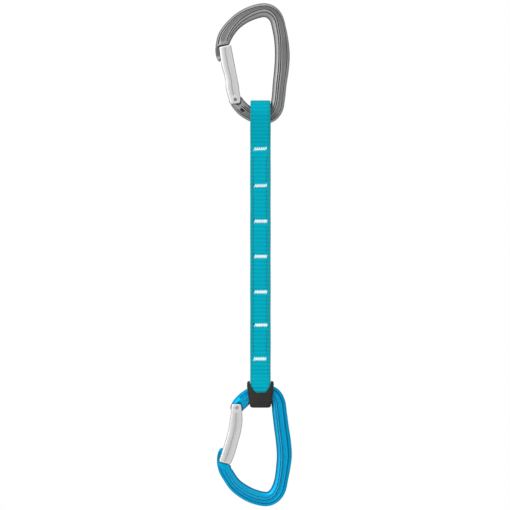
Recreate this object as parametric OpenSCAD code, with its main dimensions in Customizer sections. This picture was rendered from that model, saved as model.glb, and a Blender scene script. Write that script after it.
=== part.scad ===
// A climbing quickdraw: a straight-gate carabiner and a bent-gate carabiner on a sewn sling.
// It hangs in front view, with X to the right, Y away from the viewer and Z up.
// The origin is the bolt seat, at the top of the upper carabiner's opening.

/* [Carabiners] */
// Thickness of both frames, front to back
frame_t = 8.6; // [8:0.1:10]
// Thickness of the web between the forged pockets
web_t = 4.6; // [3:0.1:6]
// Thickness of the hinge tang
tang_t = 4; // [3:0.1:4.4]
// Radius of the hinge tang about the rivet
tang_r = 5.3; // [5:0.1:5.5]
// Height of the tang's flat above the rivet, where the plunger presses
tang_flat = 3; // [2.6:0.1:3.2]
// Thickness of the nose tongue's neck
neck_t = 3; // [2:0.1:3.4]
// Radius of the nose tongue's locking bulb
bulb_r = 2.4; // [2:0.1:2.6]
// Length of the nose tongue
tongue_l = 11.8; // [10:0.1:13]

/* [Gates] */
// Thickness of both gates, front to back
gate_t = 8.6; // [8:0.1:9.4]
// How far each gate opens, in degrees
gate_open = 28; // [20:1:28]
// Gap between a closed gate and its frame
gate_gap = 0.35; // [0.3:0.05:0.6]
// Diameter of the hinge rivets
rivet_d = 3; // [2.6:0.1:3.2]
// Running clearance of a rivet or plunger, on the radius
run_gap = 0.05; // [0.02:0.01:0.1]
// Diameter of the plungers
plunger_d = 3; // [2.6:0.1:3]
// Length of a plunger behind its round tip
plunger_l = 6; // [5:0.5:7]
// How far a plunger's axis lies inward of its rivet
plunger_in = 1.5; // [1:0.1:1.5]
// Wire diameter of the gate springs
wire_d = 0.45; // [0.3:0.05:0.5]
// Turns in a gate spring
turns = 8; // [6:1:9]

/* [Sling] */
// Width of the webbing
sling_w = 17.2; // [16:0.1:17.2]
// Thickness of one ply of webbing
ply = 1.7; // [1.4:0.1:1.8]
// Inside radius of the open upper eye
eye_r = 8.5; // [8.4:0.1:9]
// Inside half width of the lower eye, front to back
grip_r = 4.6; // [4.5:0.1:4.8]
// Width of the lower eye, where the keeper gathers it
grip_w = 14; // [12:0.5:15]
// Width of a bar tack
tack_w = 11.2; // [8:0.2:12]
// Height of a bar tack
tack_h = 3.8; // [2.4:0.2:4.2]
// How far the stitches stand out of the webbing
thread_out = 0.3; // [0.1:0.05:0.5]
// Width of a row of lock stitches
seam_w = 0.8; // [0.4:0.1:1]

/* [Keeper] */
// Width of the rubber keeper at its ears
keeper_w = 22.6; // [21.6:0.2:24]
// Width of the keeper at its foot
keeper_foot_w = 18.6; // [17:0.2:20]
// Thickness of the keeper, front to back
keeper_t = 16.4; // [16:0.2:18]
// Space between the keeper and the carabiner's bar
bar_gap = 0.35; // [0.2:0.05:0.5]

/* [Hidden] */

$fn = 48;
rings_per_span = 3;

// Radius of the slot in a gate that its tang turns in
slot_r = tang_r + 0.9;
// Clearance of a slot on each side of a tang, and of a gate's slot on each side of its tongue
tang_gap = 0.1;
tongue_gap = 0.3;
bulb_gap = 0.4;
// Room for the spring behind a plunger, and the length of the fitted spring
spring_room = 9;
spring_l = 8.2;

// Heights and the sling's centre line
sling_x = -3;
eye_top = -69.8;
rope_seat = -398.6;
tack_z = [-110.6, -141.6, -171.4, -201, -230.8, -258.6, -287];
last_tack = len(tack_z) - 1;
eye_end = tack_z[0] + 3;
neck_end = -301;
grip_wide = -309;
grip_in = -324.7;
gather_top = -306;
gather_end = -318;

// The two rows of lock stitches, from the sling's centre line
left_row = -6.1;
right_row = 5.2;
seam_top = tack_z[0] - 6;
seam_foot = tack_z[last_tack] + 3;
// A tack's core is smaller than its face all round, and its space in a seam is larger
core_inset = 0.2;
space_gap = 0.1;

// The keeper's heights, and the space round the webbing inside it
keeper_top = -305.6;
keeper_foot = -327.8;
notch_z = -314.8;
notch_w = 8.4;
cloth_gap = 0.1;

// A carabiner is drawn about the inside of its round end, with its long axis along Z.
// Its bar runs [x, z, width] from the nose over the round end and down the spine to the hinge.
// A gate runs [x, z, width] from its hinge end to its nose end, about its rivet.
// Fields: bar, rivet centre, gate, lean at the hinge, lean at the nose, gate reach, nose shift.
UPPER = [
    [
        [-35.1, -24.2, 12], [-32.3, -15.3, 12.1], [-26, -6.8, 11.6], [-18.1, -0.3, 11.8],
        [-9, 4, 12], [0, 5.9, 11.8], [6, 4, 11.9], [10.3, -1, 11.7], [12.7, -9.5, 11.7],
        [14.6, -20, 12], [15.4, -32, 12.6], [14.7, -44, 12.4], [13.2, -56, 11.8],
        [12.1, -67.5, 11.4], [10.2, -77, 11.6], [5.3, -82.7, 11.6], [-2.5, -84.1, 11.3],
        [-10.2, -82.2, 11.2], [-16.7, -78, 11.6], [-20.8, -73.9, 11.4], [-23.4, -70.3, 11.2]
    ],
    [-24.2, -69.3],
    [
        [0.2, -3.6, 9], [-0.2, 0, 10], [-1.6, 6, 10.7], [-2.4, 11, 11.2], [-2.8, 15, 10.4],
        [-3.6, 19, 10.4], [-4.6, 23.5, 10.7], [-5.5, 27, 11.2], [-6.7, 33, 11.2], [-8.6, 45.2, 10.5]
    ],
    11, 11, 46, 2.2
];
LOWER = [
    [
        [-34, -24, 11.9], [-32.7, -18.6, 11.7], [-29.4, -12.8, 11.9], [-24.4, -5.9, 11.8],
        [-17.5, -0.5, 12], [-8.8, 3.9, 12.3], [1.4, 6.1, 12.2], [8, 3.8, 12.1], [12.2, -2, 12.3],
        [14.5, -10.2, 11.5], [16.1, -20.1, 12.1], [17.1, -30.8, 12.7], [16.2, -43, 12.7],
        [14.6, -54.5, 12.5], [13.1, -66.5, 12.3], [11.9, -75.3, 12], [8.5, -81.4, 11.8],
        [3.4, -83.9, 11.7], [-2.8, -84.3, 11.3], [-9.7, -82.5, 11.4], [-15.5, -78.5, 12],
        [-19.6, -74.6, 12], [-22.6, -71.2, 11.4]
    ],
    [-22.9, -70.8],
    [
        [-0.3, -3.2, 8.4], [-0.2, 0, 9.2], [-0.2, 6, 9.9], [-0.5, 11, 10.8], [-1.1, 16, 10.8],
        [-2.1, 21, 10.9], [-3.6, 26.5, 10.8], [-5.6, 33.5, 10.9], [-7.8, 40, 11], [-10.3, 46.6, 10.2]
    ],
    4, 12.6, 47.8, 0.6
];

function bar(c) = c[0];
function rivet(c) = c[1];
function gate(c) = c[2];
function hinge_lean(c) = c[3];
function nose_lean(c) = c[4];
function reach(c) = c[5];
function nose_shift(c) = c[6];
function last(p) = len(p) - 1;

// A smooth curve through points of any size, with its parameter counting the points
function knot(p, i) = i < 0 ? 2 * p[0] - p[1] : i > last(p) ? 2 * p[last(p)] - p[last(p) - 1] : p[i];
function span(p, t) = min(floor(t), last(p) - 1);
function curve(p, t) =
    let (i = span(p, t), u = t - i, a = knot(p, i - 1), b = p[i], c = p[i + 1], d = knot(p, i + 2))
    b + u * (c - a) / 2 + u * u * (a - 2.5 * b + 2 * c - d / 2) + u * u * u * (d - a + 3 * (b - c)) / 2;
function slope(p, t) =
    let (i = span(p, t), u = t - i, a = knot(p, i - 1), b = p[i], c = p[i + 1], d = knot(p, i + 2))
    (c - a) / 2 + u * (2 * a - 5 * b + 4 * c - d) + u * u * 3 * (d - a + 3 * (b - c)) / 2;

// The side of a curve that faces away from the carabiner's opening
function outward(s) = [-s[1], s[0]] / norm([s[0], s[1]]);
function leaning(lean) = [-sin(lean), cos(lean)];
function outward_at(p, t, lean_first, lean_last) =
    t == 0 && lean_first != undef ? outward(leaning(lean_first))
    : t == last(p) && lean_last != undef ? outward(leaning(lean_last))
    : outward(slope(p, t));

// The same for a bar, turned square to the nose face over its first span
function bar_outward(c, t) =
    let (turned = max(1 - t, 0), free = outward(slope(bar(c), t)),
        n = free * (1 - turned) + outward(leaning(nose_lean(c))) * turned)
    n / norm(n);

// One ring of a swept bar: section points are [share of the half width, y]
function ring(c, n, section) =
    [for (s = section) [c[0] + n[0] * s[0] * c[2] / 2, s[1], c[1] + n[1] * s[0] * c[2] / 2]];
function mirrored(half) = concat(half, [for (i = [len(half) - 2:-1:1]) [half[i][0], -half[i][1]]]);
function smooth(x) = let (u = min(max(x, 0), 1)) u * u * (3 - 2 * u);

// The forged section: a broad round rim inside, a pocket of some depth, and a narrow rim outside
function frame_section(depth) =
    let (h = frame_t / 2, floor_y = h - depth * (frame_t - web_t) / 2)
    mirrored([
        [-1, 0], [-0.97, 0.42 * h], [-0.87, 0.78 * h], [-0.7, 0.96 * h], [-0.5, h],
        [-0.3, h * (1 - 0.06 * depth)], [-0.24, floor_y], [0.44, floor_y],
        [0.5, h * (1 - 0.08 * depth)], [0.66, 0.98 * h], [0.84, 0.82 * h], [0.96, 0.46 * h], [1, 0]
    ]);
function gate_section(size) =
    let (h = size * gate_t / 2)
    [for (s = mirrored([
        [-1, 0], [-1, 0.5 * h], [-0.93, 0.8 * h], [-0.8, 0.95 * h], [-0.6, h], [-0.1, h],
        [0, 0.94 * h], [0.1, h], [0.6, h], [0.8, 0.95 * h], [0.93, 0.8 * h], [1, 0.5 * h], [1, 0]
    ])) [s[0] * size, s[1]]];

module sweep(rings) {
    n = len(rings[0]);
    end = last(rings) * n;
    sides = [for (i = [0:last(rings) - 1], j = [0:n - 1])
        let (a = i * n + j, b = i * n + (j + 1) % n) each [[a, a + n, b], [b, a + n, b + n]]];
    caps = [for (j = [1:n - 2]) each [[0, j, j + 1], [end, end + j + 1, end + j]]];
    polyhedron([for (r = rings) each r], concat(sides, caps));
}

// A flat outline in the XZ plane, made solid from y0 to y1
module slab(y0, y1) {
    translate([0, y1, 0]) rotate([90, 0, 0]) linear_extrude(y1 - y0) children();
}

// An outline in the YZ plane, made solid from x0 to x1
module bar_along_x(x0, x1) {
    translate([x0, 0, 0]) rotate([90, 0, 90]) linear_extrude(x1 - x0) children();
}

// A hole or pin along Y, about the origin
module pin(r, length) {
    rotate([90, 0, 0]) cylinder(r = r, h = length, center = true);
}

module at_rivet(c) {
    translate([rivet(c)[0], 0, rivet(c)[1]]) children();
}

// Drawn with Z from the rivet towards the gate, at the hinge's lean or the nose's
module leaned(lean) {
    rotate([0, -lean, 0]) children();
}

module gate_outline(c, spans) {
    g = gate(c);
    ts = [for (i = [0:spans * 2]) i / 2];
    function edge(t, side) =
        let (p = curve(g, t), n = outward_at(g, t, hinge_lean(c), nose_lean(c)))
        [p[0], p[1]] + side * n * p[2] / 2;
    polygon(concat([for (t = ts) edge(t, 1)], [for (i = [len(ts) - 1:-1:0]) edge(ts[i], -1)]));
}

// What the opening gate sweeps at its hinge end
module hinge_sweep(c) {
    offset(delta = gate_gap) for (a = [0:gate_open / 7:gate_open]) rotate(-a) gate_outline(c, 3);
}

// What the gate sweeps beyond its slot, where it is solid right through
module gate_body_sweep(c) {
    intersection() {
        hinge_sweep(c);
        difference() {
            translate([-4 * tang_r, 0]) square([8 * tang_r, 8 * tang_r]);
            circle(slot_r - run_gap);
        }
    }
}

// The ring that the nose tongue and its slot are cut from: a neck with a round bulb at its end.
// It turns about the rivet, so the tongue leaves the slot freely as the gate opens.
module key_ring(c, neck, bulb) {
    bulb_at = reach(c) + gate_gap - tongue_l + bulb_r;
    rotate([90, 0, 0]) rotate_extrude() {
        translate([bulb_at, -neck / 2]) square([reach(c) + 2 - bulb_at, neck]);
        translate([bulb_at, 0]) circle(bulb);
    }
}

module tongue(c) {
    foot = reach(c) + gate_gap;
    edge = nose_shift(c) + bar(c)[0][2] / 2;
    intersection() {
        key_ring(c, neck_t, bulb_r);
        leaned(nose_lean(c)) slab(-frame_t, frame_t) polygon([
            [-0.8, foot + 1.2], [1.2 - edge, foot + 1.2], [-edge, foot - 0.4], [-edge - 0.6, foot - 5],
            [-edge - 0.5, foot - 8], [-edge + 0.2, foot - 10.8], [-edge + 1.4, foot - tongue_l],
            [-0.8, foot - tongue_l]
        ]);
    }
}

// The flat outline of a carabiner's bar
module bar_outline(c) {
    p = bar(c);
    ts = [for (i = [0:last(p) * rings_per_span]) i / rings_per_span];
    function edge(t, side) =
        let (q = curve(p, t), n = bar_outward(c, t))
        [q[0], q[1]] + side * n * q[2] / 2;
    polygon(concat([for (t = ts) edge(t, 1)], [for (i = [len(ts) - 1:-1:0]) edge(ts[i], -1)]));
}

module frame(c) {
    p = bar(c);
    pocket_end = last(p) - 1.9;
    flat_w = tang_r + 6.8;
    difference() {
        union() {
            sweep([for (i = [0:last(p) * rings_per_span])
                let (t = i / rings_per_span, depth = smooth(2 * t - 0.6) * smooth(2 * (pocket_end - t)))
                ring(curve(p, t), bar_outward(c, t), frame_section(depth))]);
            at_rivet(c) {
                pin(tang_r, tang_t);
                tongue(c);
            }
        }
        at_rivet(c) {
            pin(rivet_d / 2 + run_gap, frame_t + 2);
            slab(tang_t / 2, frame_t) hinge_sweep(c);
            slab(-frame_t, -tang_t / 2) hinge_sweep(c);
            slab(-frame_t, frame_t) gate_body_sweep(c);
            leaned(hinge_lean(c)) slab(-frame_t, frame_t)
                translate([-tang_r - 1, tang_flat]) square([flat_w, tang_r]);
        }
    }
}

module gate_body(c) {
    g = gate(c);
    bore_end = tang_flat + plunger_d / 2 + plunger_l + spring_room;
    end_size = 0.93;
    at_rivet(c) difference() {
        sweep([for (i = [0:last(g) * 2])
            let (t = i / 2, size = t == 0 || t == last(g) ? end_size : 1)
            ring(curve(g, t), outward_at(g, t, hinge_lean(c), nose_lean(c)), gate_section(size))]);
        pin(slot_r, tang_t + 2 * tang_gap);
        pin(rivet_d / 2, gate_t + 2);
        leaned(hinge_lean(c)) translate([plunger_in, 0, 0])
            cylinder(r = plunger_d / 2 + run_gap, h = bore_end);
        intersection() {
            key_ring(c, neck_t + 2 * tongue_gap, bulb_r + bulb_gap);
            leaned(nose_lean(c)) slab(-gate_t, gate_t)
                translate([-14, reach(c) - tongue_l - 1]) square([13.6, tongue_l + 3]);
        }
    }
}

module gate_rivet(c) {
    head = 0.2;
    at_rivet(c) {
        pin(rivet_d / 2, gate_t);
        for (side = [0, 180]) rotate([90 + side, 0, 0])
            translate([0, 0, gate_t / 2]) cylinder(r1 = rivet_d / 2, r2 = rivet_d / 2 - head, h = head);
    }
}

module plunger(c) {
    tip = tang_flat + plunger_d / 2 + 0.02;
    at_rivet(c) leaned(hinge_lean(c)) translate([plunger_in, 0, tip]) {
        sphere(plunger_d / 2);
        cylinder(r = plunger_d / 2, h = plunger_l);
    }
}

module gate_spring(c) {
    start = tang_flat + plunger_d / 2 + plunger_l + wire_d;
    coil_r = plunger_d / 2 - wire_d / 2 - 0.05;
    steps = 10;
    sides = 6;
    function wire_ring(i) =
        let (a = i * 360 / steps, out = [cos(a), sin(a), 0])
        [for (j = [0:sides - 1]) let (b = j * 360 / sides)
            out * (coil_r + cos(b) * wire_d / 2)
            + [0, 0, start + spring_l * i / (turns * steps) - sin(b) * wire_d / 2]];
    at_rivet(c) leaned(hinge_lean(c)) translate([plunger_in, 0, 0])
        sweep([for (i = [0:turns * steps]) wire_ring(i)]);
}

module hang_lower() {
    translate([0, 0, rope_seat]) mirror([0, 0, 1]) children();
}

// The sling's outline from the side. With grow, the outside of the plies; without, the space inside.
module eye_outline(grow) {
    hull() {
        translate([0, eye_top - ply - eye_r]) circle(eye_r + grow);
        translate([-grow - 0.05, eye_end]) square([2 * grow + 0.1, 0.1]);
    }
}

module grip_outline(grow) {
    corner = 3;
    hull() {
        for (side = [-1, 1]) translate([side * (grip_r - corner), grip_in + corner]) circle(corner + grow);
        translate([-grip_r - grow, grip_wide]) square([2 * (grip_r + grow), 0.1]);
        translate([-grow - 0.05, neck_end - 1.5]) square([2 * grow + 0.1, 0.1]);
    }
}

module sling_side(spare) {
    eye_outline(ply + spare);
    grip_outline(ply + spare);
    translate([-ply - spare, neck_end - 2]) square([2 * (ply + spare), eye_end - neck_end + 2]);
}

// The sling from the front: full width down to the keeper's ears, then gathered in the lower eye
module sling_front(spare) {
    half = sling_w / 2 + spare;
    grip = grip_w / 2 + spare;
    polygon([
        [-half, eye_top + ply], [half, eye_top + ply], [half, gather_top], [grip, gather_end],
        [grip, keeper_foot], [-grip, keeper_foot], [-grip, gather_end], [-half, gather_top]
    ]);
}

module sling_solid(spare) {
    translate([sling_x, 0, 0]) intersection() {
        bar_along_x(-sling_w, sling_w) difference() {
            sling_side(spare);
            eye_outline(0);
            grip_outline(0);
        }
        slab(-16, 16) sling_front(spare);
    }
}

module tack_core(i) {
    core = [tack_w - 2 * core_inset, 2 * (ply + thread_out), tack_h - 2 * core_inset];
    translate([sling_x, 0, tack_z[i]]) cube(core, center = true);
}

module bar_tack(i) {
    color("white") {
        tack_core(i);
        for (side = [-1, 1]) translate([sling_x, side * (ply + thread_out / 2), tack_z[i]])
            cube([tack_w, thread_out, tack_h], center = true);
    }
}

module tack_space(i) {
    space = [tack_w + 2 * space_gap, 4 * ply, tack_h + 2 * space_gap];
    translate([sling_x, 0, tack_z[i]]) cube(space, center = true);
}

// Rows of lock stitches along both edges, front and back, sunk into the webbing between the tacks
module seam(row) {
    seam_t = 0.4;
    seam_l = seam_top - seam_foot;
    color("teal") difference() {
        for (face = [-1, 1])
            translate([sling_x + row, face * (ply - seam_t / 4), seam_foot + seam_l / 2])
                cube([seam_w, seam_t, seam_l], center = true);
        for (i = [0:last_tack]) tack_space(i);
    }
}

module webbing() {
    color("darkturquoise") difference() {
        sling_solid(0);
        for (i = [0:last_tack]) tack_core(i);
        seam(left_row);
        seam(right_row);
    }
}

// The keeper's outline from the front, with the notch between its ears
module keeper_front() {
    wide = keeper_w / 2;
    low = keeper_foot_w / 2;
    ear = sling_w / 2;
    polygon([
        [-low + 1.2, keeper_foot], [low - 1.2, keeper_foot], [low, keeper_foot + 1.6],
        [low + 0.6, keeper_foot + 4], [wide, notch_z], [wide, keeper_top - 2],
        [wide - 0.7, keeper_top - 0.4], [wide - 1.6, keeper_top], [ear, keeper_top - 1],
        [ear - 0.5, keeper_top - 3], [notch_w / 2, notch_z], [-notch_w / 2, notch_z],
        [-ear + 0.5, keeper_top - 3], [-ear, keeper_top - 1], [-wide + 1.6, keeper_top],
        [-wide + 0.7, keeper_top - 0.4], [-wide, keeper_top - 2], [-wide, notch_z],
        [-low - 0.6, keeper_foot + 4], [-low, keeper_foot + 1.6]
    ]);
}

module keeper_side() {
    deep = keeper_t / 2;
    polygon([
        [-5, keeper_foot], [5, keeper_foot], [deep - 1, keeper_foot + 1.4],
        [deep - 0.3, keeper_foot + 4], [deep, notch_z - 1.2], [deep - 0.4, keeper_top - 5.4],
        [deep - 1.6, keeper_top - 2.4], [deep - 3.4, keeper_top], [-deep + 3.4, keeper_top],
        [-deep + 1.6, keeper_top - 2.4], [-deep + 0.4, keeper_top - 5.4], [-deep, notch_z - 1.2],
        [-deep + 0.3, keeper_foot + 4], [-deep + 1, keeper_foot + 1.4]
    ]);
}

module keeper() {
    hollow_w = grip_w / 2 + cloth_gap;
    color("dimgray") difference() {
        translate([sling_x, 0, 0]) intersection() {
            slab(-keeper_t, keeper_t) keeper_front();
            bar_along_x(-keeper_w, keeper_w) keeper_side();
        }
        sling_solid(cloth_gap);
        translate([sling_x, 0, 0]) bar_along_x(-hollow_w, hollow_w) grip_outline(cloth_gap);
        slab(-frame_t / 2 - bar_gap, frame_t / 2 + bar_gap)
            translate([0, rope_seat]) mirror([0, 1]) offset(delta = bar_gap) bar_outline(LOWER);
    }
}

color("gray") frame(UPPER);  // upper_frame
color("lightgray") gate_body(UPPER);  // upper_gate
color("dimgray") gate_rivet(UPPER);  // upper_gate_rivet
color("goldenrod") plunger(UPPER);  // upper_gate_plunger
color("silver") gate_spring(UPPER);  // upper_gate_spring
color("deepskyblue") hang_lower() frame(LOWER);  // lower_frame
color("lightgray") hang_lower() gate_body(LOWER);  // lower_gate
color("dimgray") hang_lower() gate_rivet(LOWER);  // lower_gate_rivet
color("goldenrod") hang_lower() plunger(LOWER);  // lower_gate_plunger
color("silver") hang_lower() gate_spring(LOWER);  // lower_gate_spring
webbing();  // sling_webbing
seam(left_row);  // left_seam
seam(right_row);  // right_seam
for (i = [0:last_tack]) bar_tack(i);
keeper();
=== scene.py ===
"""A climbing quickdraw: a straight-gate carabiner and a bent-gate carabiner on a sewn sling.

Shapes are drawn in millimetres in the row frame, and mesh() writes them in metres.
A carabiner is drawn about the inside of its round end, with its long axis along Z and its gate to the left.
"""

import math

import bmesh
import bpy
import numpy as np
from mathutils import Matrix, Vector
from mathutils.kdtree import KDTree


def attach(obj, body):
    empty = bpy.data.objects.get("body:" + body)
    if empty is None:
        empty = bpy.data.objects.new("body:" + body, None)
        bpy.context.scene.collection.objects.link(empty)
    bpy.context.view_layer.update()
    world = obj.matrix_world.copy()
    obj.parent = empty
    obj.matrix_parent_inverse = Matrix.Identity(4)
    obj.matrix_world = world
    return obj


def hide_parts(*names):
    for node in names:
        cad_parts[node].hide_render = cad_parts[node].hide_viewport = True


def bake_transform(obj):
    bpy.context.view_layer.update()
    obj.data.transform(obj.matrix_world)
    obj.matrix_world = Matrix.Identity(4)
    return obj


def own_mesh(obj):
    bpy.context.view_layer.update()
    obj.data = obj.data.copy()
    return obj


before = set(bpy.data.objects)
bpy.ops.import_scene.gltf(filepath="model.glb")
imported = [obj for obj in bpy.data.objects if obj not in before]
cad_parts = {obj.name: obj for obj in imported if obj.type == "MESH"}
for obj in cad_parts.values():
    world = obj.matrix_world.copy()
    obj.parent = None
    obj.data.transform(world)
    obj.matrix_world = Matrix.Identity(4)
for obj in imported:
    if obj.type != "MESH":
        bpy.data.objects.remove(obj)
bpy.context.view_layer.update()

MM = 0.001

# ---- sizes, in millimetres

FRAME_T = 8.6
GATE_T = FRAME_T
# Clearance between a frame and its gate, and between parts that turn or slide in each other
GATE_GAP = 0.35
RUN_GAP = 0.05
# How far a gate opens, in degrees
GATE_OPEN = 28

# The lug that a gate turns on, with a flat for the plunger, and the slot over it
TANG_T = 4.0
TANG_R = 5.3
TANG_FLAT = 3.0
SLOT_R = TANG_R + 0.9
SLOT_GAP = 0.1
RIVET_R = 1.5

# The plunger, its spring and their bore, which lies PLUNGER_IN beside the rivet
PLUNGER_R = 1.5
PLUNGER_IN = 1.5
PLUNGER_BORE = 19.5
PLUNGER_L = 6.0
SPRING_L = 8.2
SPRING_TURNS = 8
WIRE_R = 0.225

# The nose's tongue: a thin neck, and a round bulb at its tip
NECK_T = 3.0
BULB_R = 2.4
TONGUE_L = 11.8

SLING_X = -3.0
SLING_W = 17.2
GRIP_W = 14.0
PLY = 1.7
EYE_TOP = -69.8
EYE_R = 8.5
EYE_END = -107.6
NECK_END = -301.0
GRIP_TOP = -309.0
GRIP_R = 4.6
GRIP_IN = -324.7
TACK_Z = [-110.6, -141.6, -171.4, -201.0, -230.8, -258.6, -287.0]
TACK_W = 11.2
TACK_H = 3.8
THREAD_R = 0.27

# The inside of the lower round end, which the lower carabiner is drawn about
ROPE_SEAT = -398.6

# bar: [x, z, width] from the nose over the round end and down the spine to the hinge.
# gate: [x, z, width] from its hinge end to its nose end, about its rivet.
# hinge_lean, nose_lean: how far each end of the gate leans, in degrees.
# reach: from the rivet to the gate's nose end. nose_shift: how far outside the rivet the nose's middle is.
# shoulder, inside, rim: how much painted shade the nose's shoulder and the cut faces get, and how much
# painted highlight the inner rim gets.
# channels: what is forged into each face. Each has its inner and outer edges at the marks along the bar, as
# shares of the half width from -1 at the opening to 1 outside; its depth; how far it stops short of the
# nose and the hinge; its tone, the painted shade in it; and its lip, the painted highlight along its edge.
# Where nose is below 0, the channel starts that far short of the bar's hinge end instead.
UPPER = dict(
    bar=[
        [-35.1, -24.2, 12], [-32.3, -15.3, 12.1], [-26, -6.8, 11.6], [-18.1, -0.3, 11.8],
        [-9, 4, 12], [0, 5.9, 11.8], [6, 4, 11.9], [10.3, -1, 11.7], [12.7, -9.5, 11.7],
        [14.6, -20, 12], [15.4, -32, 12.6], [14.7, -44, 12.4], [13.2, -56, 11.8],
        [12.1, -67.5, 11.4], [10.2, -77, 11.6], [5.3, -82.7, 11.6], [-2.5, -84.1, 11.3],
        [-10.2, -82.2, 11.2], [-16.7, -78, 11.6], [-20.8, -73.9, 11.4], [-23.4, -70.3, 11.2],
    ],
    rivet=(-24.2, -69.3),
    gate=[
        [0.2, -3.6, 9], [-0.2, 0, 10], [-1.6, 6, 10.7], [-2.4, 11, 11.2], [-2.8, 15, 10.4],
        [-3.6, 19, 10.4], [-4.6, 23.5, 10.7], [-5.5, 27, 11.2], [-6.7, 33, 11.2], [-8.6, 45.2, 10.5],
    ],
    hinge_lean=11, nose_lean=11, reach=46, nose_shift=2.2, hangs=False,
    shoulder=1.0, inside=0.6, rim=0.12,
    marks=[0, 32, 50, 68, 94, 114, 190],
    channels=[
        dict(inner=[-0.36, 0.02, 0.22, 0.2, 0.0, 0.12, -0.05],
             outer=[0.42, 0.42, 0.4, 0.6, 0.5, 0.5, 0.48],
             depth=0.9, nose=3.4, hinge=7.2, tone=0.36, lip=0.75),
        dict(inner=[0.58, 0.52, 0.47, 0.65, 0.57, 0.56, 0.6],
             outer=[0.7, 0.62, 0.57, 0.76, 0.69, 0.66, 0.7],
             depth=0.5, nose=1.6, hinge=6.0, tone=1.0, lip=0),
        dict(inner=[-0.64, -0.16, 0.08, -0.03, -0.25, -0.18, -0.26],
             outer=[-0.54, -0.05, 0.18, 0.08, -0.14, -0.07, -0.15],
             depth=0.6, nose=4.0, hinge=6.6, tone=1.0, lip=0.35),
        dict(inner=[-0.8, -0.55, -0.38, -0.33, -0.5, -0.45, -0.5],
             outer=[-0.72, -0.45, -0.28, -0.23, -0.4, -0.35, -0.4],
             depth=0.5, nose=9.0, hinge=8.0, tone=1.0, lip=0.2),
        dict(inner=0.0, outer=0.4, depth=1.4, nose=-11.5, hinge=7.8, tone=0.95, lip=0),
    ],
)
LOWER = dict(
    bar=[
        [-34, -24, 11.9], [-32.7, -18.6, 11.2], [-29.4, -12.8, 11], [-24.4, -5.9, 11.4],
        [-17.5, -0.5, 12], [-8.8, 3.9, 12.3], [1.4, 6.1, 12.2], [8, 3.8, 12.1], [12.2, -2, 12.3],
        [14.5, -10.2, 11.5], [16.1, -20.1, 12.1], [17.1, -30.8, 12.7], [16.2, -43, 12.7],
        [14.6, -54.5, 12.5], [13.1, -66.5, 12.3], [11.9, -75.3, 12], [8.5, -81.4, 11.8],
        [3.4, -83.9, 11.7], [-2.8, -84.3, 11.3], [-9.7, -82.5, 11.4], [-15.5, -78.5, 12],
        [-19.6, -74.6, 12], [-22.6, -71.2, 11.4],
    ],
    rivet=(-22.9, -70.8),
    gate=[
        [-0.3, -3.2, 8.4], [-0.2, 0, 9.2], [-0.2, 6, 9.9], [-0.5, 11, 10.8], [-1.1, 16, 10.8],
        [-2.1, 21, 10.9], [-3.6, 26.5, 10.8], [-5.6, 33.5, 10.9], [-7.8, 40, 11], [-10.3, 46.6, 10.2],
    ],
    hinge_lean=4, nose_lean=12.6, reach=47.8, nose_shift=0.6, hangs=True,
    shoulder=0.35, inside=0.45, rim=0.35,
    marks=[0, 27, 43, 60, 98, 190],
    channels=[
        dict(inner=[0.08, 0.22, 0.27, 0.09, -0.09, -0.04],
             outer=[0.42, 0.44, 0.46, 0.42, 0.36, 0.38],
             depth=0.7, nose=4.5, hinge=8.0, tone=0.0, lip=0.7),
        dict(inner=[0.52, 0.5, 0.52, 0.5, 0.44, 0.48],
             outer=[0.66, 0.62, 0.62, 0.64, 0.64, 0.66],
             depth=0.4, nose=3.6, hinge=7.0, tone=0.85, lip=0),
        dict(inner=[-0.06, 0.1, 0.13, -0.08, -0.26, -0.22],
             outer=[0.04, 0.18, 0.22, 0.03, -0.16, -0.12],
             depth=0.5, nose=5.0, hinge=7.2, tone=0.85, lip=0.5),
        dict(inner=[-0.36, -0.26, -0.26, -0.36, -0.53, -0.48],
             outer=[-0.27, -0.18, -0.18, -0.27, -0.43, -0.38],
             depth=0.45, nose=9.0, hinge=8.0, tone=0.75, lip=0.6),
    ],
)

# ---- curves and meshes

# Points looked up between two points of a curve, and how many more rings lie in its fine ends
CURVE_STEPS = 60
FINER = 3.5


def smooth(x):
    """0 below 0, 1 above 1, and a soft step between."""
    x = np.clip(x, 0, 1)
    return x * x * (3 - 2 * x)


def curve(points, t):
    """Places and slopes on a smooth curve through points, with t counting the points."""
    p = np.asarray(points, float)
    t = np.atleast_1d(np.asarray(t, float))
    knots = np.vstack([2 * p[0] - p[1], p, 2 * p[-1] - p[-2]])
    i = np.clip(np.floor(t).astype(int), 0, len(p) - 2)
    u = (t - i)[:, None]
    a, b, c, d = (knots[i + k] for k in range(4))
    place = b + u * (c - a) / 2 + u**2 * (a - 2.5 * b + 2 * c - d / 2) + u**3 * (d - a + 3 * (b - c)) / 2
    slope = (c - a) / 2 + u * (2 * a - 5 * b + 4 * c - d) + u**2 * 3 * (d - a + 3 * (b - c)) / 2
    return place, slope


def unit(rows):
    """Each row scaled to length 1."""
    return rows / np.linalg.norm(rows, axis=1)[:, None]


def bell(x):
    """1 at 0, falling softly to 0 on both sides."""
    return np.exp(-(x**2))


def full_turn(sides):
    """Evenly spaced angles once round."""
    return np.linspace(0, 2 * math.pi, sides, endpoint=False)


def squared_circle(sides, power=1.0):
    """The x and y of points round a circle, squared off where power is below 1."""
    turn = full_turn(sides)
    return [np.sign(part) * np.abs(part) ** power for part in (np.cos(turn), np.sin(turn))]


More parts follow.
